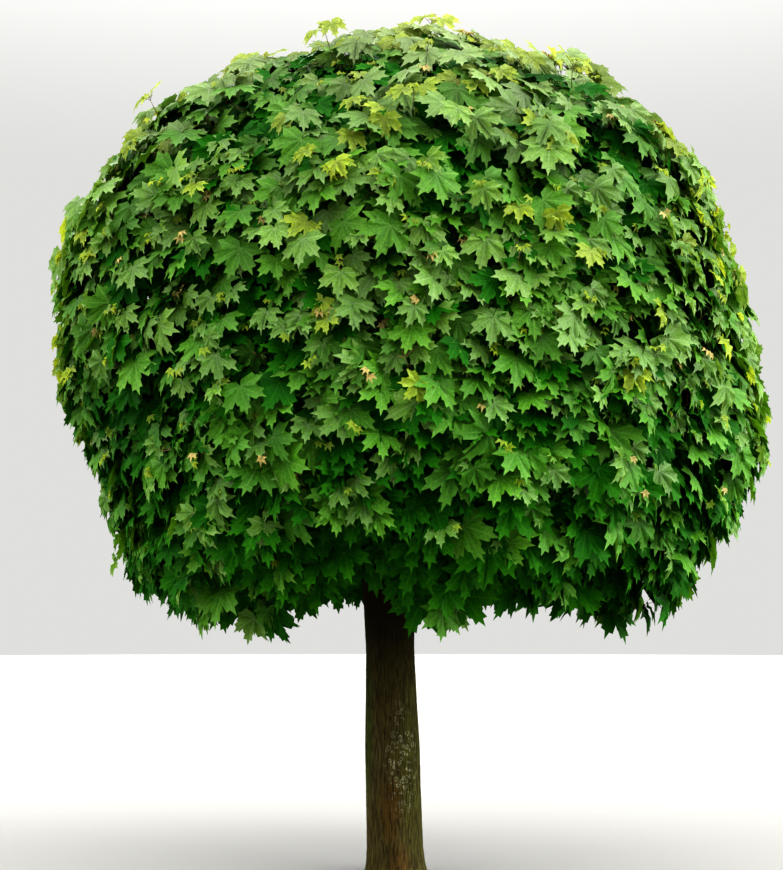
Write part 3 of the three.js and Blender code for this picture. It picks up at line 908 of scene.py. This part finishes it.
def leafShape(outline, ringed):
    # a fan of faces round the top of the stalk, its rim drawn out to the lobes; X runs to the tip
    shape = bmesh.new()
    half = len(outline)
    bmesh.ops.create_circle(shape, cap_ends=True, cap_tris=True, segments=2 * half, radius=1)
    between = shape.verts.layers.float.new("between")
    for vert in shape.verts:
        if vert.co.length < 0.5:  # the middle one, over the stalk
            continue
        place = round(math.atan2(vert.co.x, vert.co.y) * half / math.pi)  # the circle starts on Y
        if abs(place) == half:
            vert.co, vert[between] = (heel, 0, 0), 1.0
            continue
        degrees, reach, vert[between] = outline[abs(place)]
        angle = math.copysign(math.radians(degrees), place)
        vert.co = (reach * math.cos(angle), reach * math.sin(angle), 0)
    if ringed:  # a point half way out on each main vein and each notch lets the blade bend
        spokes = []
        for edge in shape.edges:
            near, far = sorted(edge.verts, key=lambda v: v.co.length)
            if near.co.length < 0.01 and far.co.length > 0.1 and far[between] in (0.0, 1.0):
                spokes.append(edge)
        bmesh.ops.subdivide_edges(shape, edges=spokes, cuts=1)
    shape.verts.index_update()
    flat = np.array([v.co[:2] for v in shape.verts])
    share = np.array([v[between] for v in shape.verts])
    corners, starts = [], []
    for face in shape.faces:
        starts.append(len(corners))
        face.normal_update()
        verts = [v.index for v in face.verts]
        corners += verts if face.normal.z > 0 else verts[::-1]
    shape.free()
    reach = np.hypot(flat[:, 0], flat[:, 1])
    droop = bladeForm["droopAhead"] * np.maximum(flat[:, 0], 0) ** 2
    droop += bladeForm["droopSideways"] * flat[:, 1] ** 2
    return {
        "flat": flat,
        "fold": share * np.sin(ramp(reach, 0, bladeForm["foldReach"]) * np.pi / 2) * bladeForm["fold"],
        "droop": -droop,
        "maps": np.stack((share, reach), axis=1),
        "corners": np.array(corners),
        "starts": np.array(starts),
        "triangles": sum(b - a - 2 for a, b in zip(starts, starts[1:] + [len(corners)])),
    }


def growLeaves(grown, pair, channel):
    # both leaves of one pair on every shoot: places, directions and sizes
    rows = []
    tips, heading, seats = grown["tips"], grown["heading"], grown["seats"]
    helper = unit(np.cross(heading, (0.0, 0.0, 1.0)))
    other = np.cross(heading, helper)
    turn = (chance(seats, 51) * np.pi + channel * np.pi / 2)[:, None]
    side = np.cos(turn) * helper + np.sin(turn) * other
    long = np.linalg.norm(tips - grown["roots"], axis=1)
    t = np.clip(1 - pair["back"] / long, leaf["leastShare"], 1)[:, None]
    knots = onCurve(t, grown["roots"], grown["bends"], tips)
    aside, ahead, rise = leaf["stalkOut"]
    for sign in (1.0, -1.0):
        seed = seats * leaf["mostOnShoot"] + channel * 2 + (sign > 0)
        stalk = pair["stalk"] * (1 + spread(seed, 61, leaf["stalkSpread"]))[:, None]
        foot = knots + unit(sign * side * aside + heading * ahead + np.array((0, 0, rise))) * stalk
        normal = crownNormal(foot)
        normal[:, 2] = np.maximum(normal[:, 2], leaf["lowest"])
        normal = unit(normal)
        down = foot - crown["centre"]
        down[:, 2] = -leaf["hang"]
        down = unit(down - normal * dot(down, normal))
        away = sign * side - normal * dot(sign * side, normal)
        onward = unit(down + leaf["sideways"] * away)
        flare = (leaf["flare"] + spread(seed, 62, leaf["flareSpread"]))[:, None]
        flare = flare - leaf["flatten"] * np.maximum(0, normal[:, 2:])
        tip = onward * np.cos(flare) + normal * np.sin(flare)
        across = unit(np.cross(normal, tip))
        roll = spread(seed, 63, leaf["roll"])[:, None]
        flat, face = across, np.cross(tip, across)
        across = flat * np.cos(roll) + face * np.sin(roll)
        face = face * np.cos(roll) - flat * np.sin(roll)
        size = pair["size"] * (1 + spread(seed, 64, leaf["sizeSpread"]))
        size *= 1 + leaf["lowSize"] * ramp(foot[:, 2], *leaf["lowSizeHeights"])
        frames = np.stack((tip, across, face), axis=1)
        rows.append(
            {"seed": seed, "knot": knots, "foot": foot, "size": size}
            | {"frame": frames, "normal": normal, "limit": grown["limit"]}
        )
    both = {key: np.concatenate([r[key] for r in rows]) for key in rows[0]}
    ends = both["foot"] + both["frame"][:, 0] * both["size"][:, None]
    ragged = both["limit"] + spread(both["seed"], 66, leaf["limitSpread"])
    over = np.maximum(0, crownShare(ends) - ragged)[:, None] * crown["radius"]
    both["foot"] = both["foot"] - unit(both["foot"] - crown["centre"]) * over
    ends = both["foot"] + both["frame"][:, 0] * both["size"][:, None]
    both["foot"][:, 2] += np.maximum(0, leaf["floor"] - ends[:, 2])
    onSprig = both["limit"] == sprigs["limit"]
    kept = chance(both["seed"], 65) > np.where(onSprig, sprigs["missing"], pair["missing"])
    kept &= hollowShare(both["foot"]) > 1
    kept &= ~onSprig | (both["size"] < sprigs["largestLeaf"])
    return {key: value[kept] for key, value in both.items()}


# which of leafTones a leaf gets: its pair's age and these set a number, which is rounded; the number also
# paints light and shade, giving lit leaves lighter tones and shaded leaves deeper ones
tint = {
    "least": {"tip": 1, "outer": 0, "inner": 0},
    "most": {"tip": 3, "outer": 3, "inner": 1},
    # leaves facing up get lighter tones, painted light from above
    "upward": 0.9,
    "leastUpward": -0.1,
    "patches": 1.7,  # for each metre
    "patchSize": 0.4,
    "spread": 0.9,
    "low": 0.8,  # the skirt's leaves get the deepest tones, painted shade low in the crown
    "lowHeights": (2.5, 1.5),
    "inner": 2.0,  # and so do those behind the outer layer, painted shade
    "innerShares": (0.955, 0.895),
    "outmost": 0.5,  # the leaves that stand out most get the youngest tones, partly their own newer growth and partly a painted glow of light through them
    "outmostShares": (0.975, 0.99),
    "offset": 0.1,
    "bronze": 0.25,  # share of the newest leaves
    "leastBronze": -0.3,
    "shadeSpread": 0.36,
    "behind": 0.2,  # painted shade: how much darker a tone is behind the outer layer, in the upper crown
    "behindShares": (0.985, 0.955),
    "behindHeights": (1.5, 2.5),
}


def leafTint(made, pair):
    seed, place = made["seed"], made["foot"]
    patch = np.array([noise.noise(Vector(p) * tint["patches"]) for p in place])
    # sun is painted light and shade: it picks lighter tones for lit leaves and deeper ones for shaded leaves
    sun = tint["upward"] * np.clip(made["normal"][:, 2], tint["leastUpward"], 1) + tint["patchSize"] * patch
    sun += spread(seed, 71, tint["spread"])
    sun -= tint["low"] * ramp(place[:, 2], *tint["lowHeights"])
    share = crownShare(place)
    sun -= tint["inner"] * ramp(share, *tint["innerShares"])
    sun += tint["outmost"] * ramp(share, *tint["outmostShares"])
    shape = pair["shape"]
    number = np.round(pair["age"] + sun - tint["offset"])
    number = np.clip(number, tint["least"][shape], tint["most"][shape]).astype(int)
    bronze = (chance(seed // 2, 72) < tint["bronze"]) & (shape == "tip") & (sun > tint["leastBronze"])
    return np.where(bronze, list(leafTones).index("bronze"), number)


def leafShade(made):
    # painted shade on the leaves behind the outer layer of the upper crown
    behind = ramp(crownShare(made["foot"]), *tint["behindShares"])
    behind = behind * ramp(made["foot"][:, 2], *tint["behindHeights"])
    return 1 + spread(made["seed"], 76, tint["shadeSpread"]) - tint["behind"] * behind


def leafPoints(made, pair, shape):
    seed = made["seed"]
    fold = (pair["fold"] * (1 + spread(seed, 73, leaf["foldSpread"])))[:, None]
    droop = (pair["droop"] * (1 + spread(seed, 74, leaf["droopSpread"])))[:, None]
    local = np.empty((len(seed), len(shape["flat"]), 3))
    local[:, :, :2] = shape["flat"][None]
    local[:, :, 1] *= (1 + spread(seed, 75, leaf["widthSpread"]))[:, None]
    local[:, :, 2] = shape["fold"][None] * fold + shape["droop"][None] * droop
    points = np.einsum("nvi,nij->nvj", local * made["size"][:, None, None], made["frame"])
    return points + made["foot"][:, None]


def leafPieces(young, branchlets):
    shapes = {
        "outer": leafShape(leafOutline, True),
        "inner": leafShape(leafOutline, False),
        "tip": leafShape(youngOutline, False),
    }
    skins = {tone: leafSkin(tone) for tone in leafTones}
    heaps = {}
    stalks = []
    growth = [(young, row) for row in shootPairs] + [(branchlets, row) for row in branchletPairs]
    for channel, (bearer, row) in enumerate(growth):
        pair = dict(zip(pairValues, row))
        made = growLeaves(bearer, pair, channel)
        stalks.append(np.stack((made["knot"], made["foot"]), axis=1))
        points = leafPoints(made, pair, shapes[pair["shape"]])
        tints, shades = leafTint(made, pair), leafShade(made)
        for number, tone in enumerate(leafTones):
            chosen = tints == number
            if chosen.any():
                heaps.setdefault((tone, pair["shape"]), []).append((points[chosen], shades[chosen]))
    total = 0
    for (tone, kind), parts in heaps.items():
        points = np.concatenate([p for p, _ in parts])
        shades = np.concatenate([s for _, s in parts])
        shape = shapes[kind]
        pieces = math.ceil(len(points) * shape["triangles"] / mostTriangles)
        for i in range(pieces):
            name = f"{tone}_{kind}_leaves" + (f"_{i + 1}" if pieces > 1 else "")
            part = slice(i, None, pieces)
            faces = shape["corners"], shape["starts"]
            mesh = meshOfCopies(name, points[part], *faces, shape["maps"], shades[part])
            finishPiece(name, mesh, skins[tone], foliageNodes)
        total += len(points)
    lines = np.concatenate(stalks)
    radii = np.full(lines.shape[:2], leaf["stalkRadius"])
    tubes("leaf_stalks", lines, radii, leaf["stalkSides"], twoToned("leafStalk", stalkLook))
    print("leaves:", total)


studio = {
    "floorRadius": 60.0,
    "floorSides": 96,
    "floor": (0.18, 0.178, 0.17),
    "floorRoughness": 0.9,
    "floorShine": 0.2,
    "sky": (0.99, 0.99, 0.97),
    "skyRise": (0.3, 0.95),
    "skyStrengths": (0.55, 2.3),
    "suns": (  # turn, strength, width
        ("overhead", (20, 8, 0), 1.75, 70),
        ("front", (52, 0, 0), 0.55, 50),
        ("left", (10, -60, 0), 2.8, 60),
        ("right", (10, 62, 0), 6.2, 60),
        ("back", (-64, -25, 0), 2.8, 60),
    ),
    "camera": (-0.018, -7.627, 1.28),
    "pitch": 7.81,
    "lens": 57.93,
    "film": 36,
    "farthest": 200,
}


def setFloor():
    floor = bmesh.new()
    bmesh.ops.create_circle(floor, cap_ends=True, segments=studio["floorSides"], radius=studio["floorRadius"])
    mesh = bpy.data.meshes.new("floor")
    floor.to_mesh(mesh)
    floor.free()
    ground = bpy.data.objects.new("floor", mesh)
    bpy.context.scene.collection.objects.link(ground)
    finish, _, shader = newFinish("floorPaint", studio["floorRoughness"], studio["floorShine"])
    shader.inputs["Base Color"].default_value = colour(studio["floor"])
    mesh.materials.append(finish)


def setSky():
    world = bpy.data.worlds.new("softSky")
    world.use_nodes = True
    sky = world.node_tree
    back = sky.nodes["Background"]
    back.inputs["Color"].default_value = colour(studio["sky"])
    rise = node(sky, "SeparateXYZ", None, Vector=node(sky, "TexCoord").outputs["Generated"]).outputs[2]
    brightness = rangeOf(sky, rise, *studio["skyRise"], studio["skyStrengths"])
    sky.links.new(brightness, back.inputs["Strength"])
    bpy.context.scene.world = world


def setSuns():
    for name, turn, strength, width in studio["suns"]:
        light = bpy.data.lights.new(name, "SUN")
        light.energy = strength
        light.angle = math.radians(width)
        holder = bpy.data.objects.new(name, light)
        holder.rotation_euler = [math.radians(a) for a in turn]
        bpy.context.scene.collection.objects.link(holder)


def setCamera():
    camera = bpy.data.cameras.new("camera")
    camera.lens = studio["lens"]
    camera.sensor_width = studio["film"]
    camera.clip_end = studio["farthest"]
    holder = bpy.data.objects.new("camera", camera)
    holder.location = studio["camera"]
    holder.rotation_euler = (math.radians(90 + studio["pitch"]), 0, 0)
    bpy.context.scene.collection.objects.link(holder)
    bpy.context.scene.camera = holder
    bpy.context.scene.view_settings.view_transform = "Standard"
    bpy.context.scene.view_settings.look = "High Contrast"


setFloor()
setSky()
setSuns()
setCamera()
print("stage set")
trunkPiece()
print("trunk grown")
limbBark = twoToned("limbBark", limbLook)
sites = boughSites()
boughPieces(sites, limbBark)
print("boughs grown")
grown = growBranchlets(sites)
twigs("branchlets", grown, branchlet, limbBark)
young = growShoots(grown)
twigs("shoots", young, shoots, twoToned("shootBark", shootLook))
print("branchlets:", len(grown["tips"]), "shoots:", len(young["tips"]))
leafPieces(young, grown)
triangles = 0
for piece in allPieces:
    faces = sum(len(p.vertices) - 2 for p in piece.data.polygons)
    triangles += faces
    print(piece.name, faces)
print("triangles:", triangles)
